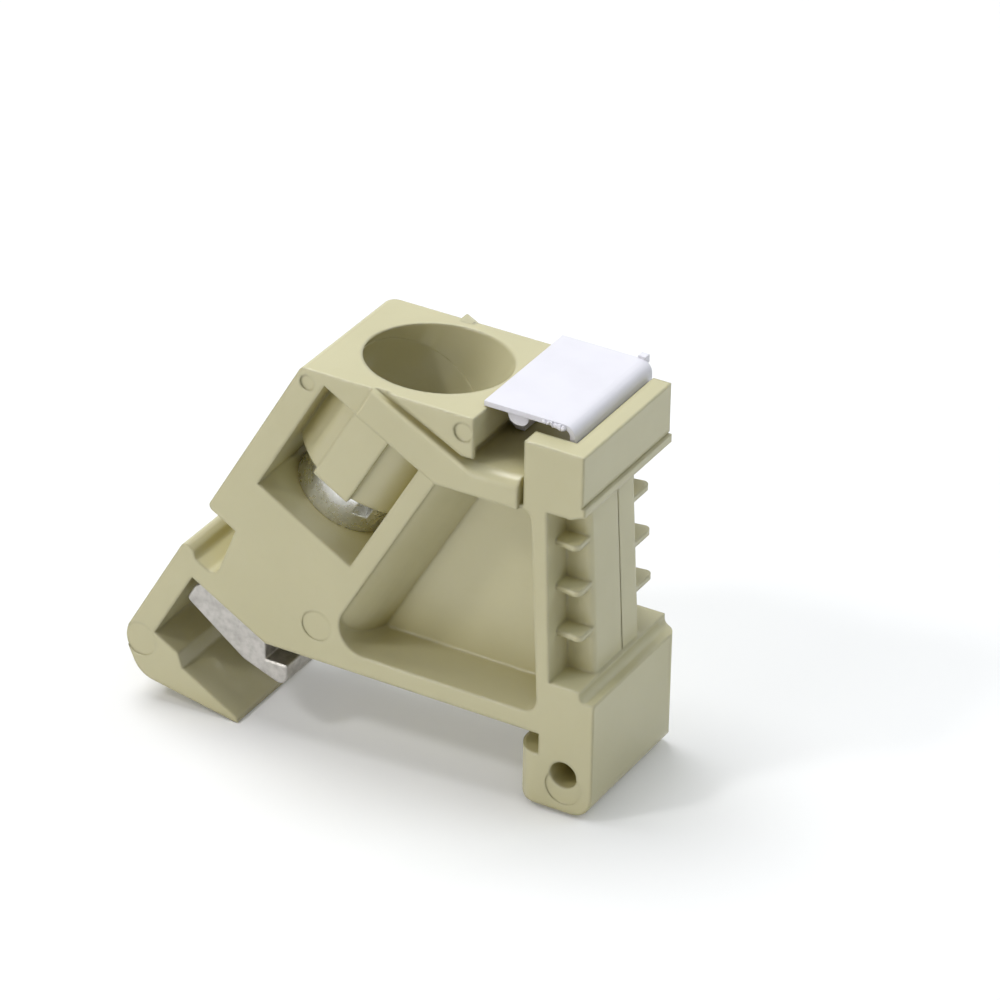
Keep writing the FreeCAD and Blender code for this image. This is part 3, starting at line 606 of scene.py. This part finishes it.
def paleFloor(look):
    finish = Finish("paleFloor", {
        "Base Color": (*look["floorColour"], 1), "Roughness": look["floorRoughness"]})
    surface = Field(finish, finish.shader.outputs[0])
    glow = finish.add("ShaderNodeEmission", None, {
        "Color": (1, 1, 1, 1), "Strength": look["floorGlow"] * finish.seen()})
    both = finish.add("ShaderNodeAddShader", None, {0: surface, 1: glow})
    finish.finishWith("Material Output", both)
    return finish.material


def addFloor(look):
    slope = math.tan(math.radians(look["floorTilt"]))
    reach = look["floorReach"]
    corners = []
    for x, y in ((-reach, -reach), (reach, -reach), (reach, reach), (-reach, reach)):
        height = look["floorHeight"] + (x - look["tiltedFrom"]) * slope
        corners.append(Vector((x, y, height)) * mm)
    data = bpy.data.meshes.new("floor")
    data.from_pydata(corners, [], [(0, 1, 2, 3)])
    floor = bpy.data.objects.new("floor", data)
    scene.collection.objects.link(floor)
    data.materials.append(paleFloor(look))


def addLamps(look):
    for name, place, size, power, colour in look["lamps"]:
        lamp = bpy.data.lights.new(name, "AREA")
        lamp.shape = "DISK"
        lamp.size = size * mm
        lamp.energy = power
        lamp.color = colour
        holder = bpy.data.objects.new(name, lamp)
        holder.location = Vector(place) * mm
        aim = Vector(look["aim"]) * mm - holder.location
        holder.rotation_euler = aim.to_track_quat("-Z", "Y").to_euler()
        scene.collection.objects.link(holder)


def addWorld(look):
    # dim light from all round, and white where the camera looks past the floor
    scene.world = bpy.data.worlds.new("studio")
    wiring = Wiring(scene.world)
    room, backdrop = (
        wiring.add("ShaderNodeBackground", None, {"Color": (1, 1, 1, 1), "Strength": look[key]})
        for key in ("roomStrength", "seenStrength"))
    both = wiring.add("ShaderNodeMixShader", None, {"Fac": wiring.seen(), 1: room, 2: backdrop})
    wiring.finishWith("World Output", both)


# the photograph's view
camera = {
    "azimuth": 29.731,
    "elevation": 30.718,
    "roll": 1.003,
    "place": (110.603, -188.366, 138.084),
    "lens": 194.055,
    "sensor": 36,
    "seesFrom": 10,
    "seesTo": 20000,
}


def addCamera(look):
    turn, rise, roll = (math.radians(look[key]) for key in ("azimuth", "elevation", "roll"))
    forward = Vector((-math.sin(turn) * math.cos(rise), math.cos(turn) * math.cos(rise),
                      -math.sin(rise)))
    right = Vector((math.cos(turn), math.sin(turn), 0))
    up = right.cross(forward)
    rolledRight = right * math.cos(roll) + up * math.sin(roll)
    rolledUp = up * math.cos(roll) - right * math.sin(roll)
    lens = bpy.data.cameras.new("camera")
    lens.lens = look["lens"]
    lens.sensor_width = look["sensor"]
    lens.clip_start = look["seesFrom"] * mm
    lens.clip_end = look["seesTo"] * mm
    holder = bpy.data.objects.new("camera", lens)
    turned = Matrix((rolledRight, rolledUp, -forward)).transposed().to_4x4()
    holder.matrix_world = Matrix.Translation(Vector(look["place"]) * mm) @ turned
    scene.collection.objects.link(holder)
    scene.camera = holder


addFloor(studio)
addLamps(studio)
addWorld(studio)
addCamera(camera)
scene.view_settings.view_transform = "Standard"
print("studio ready")
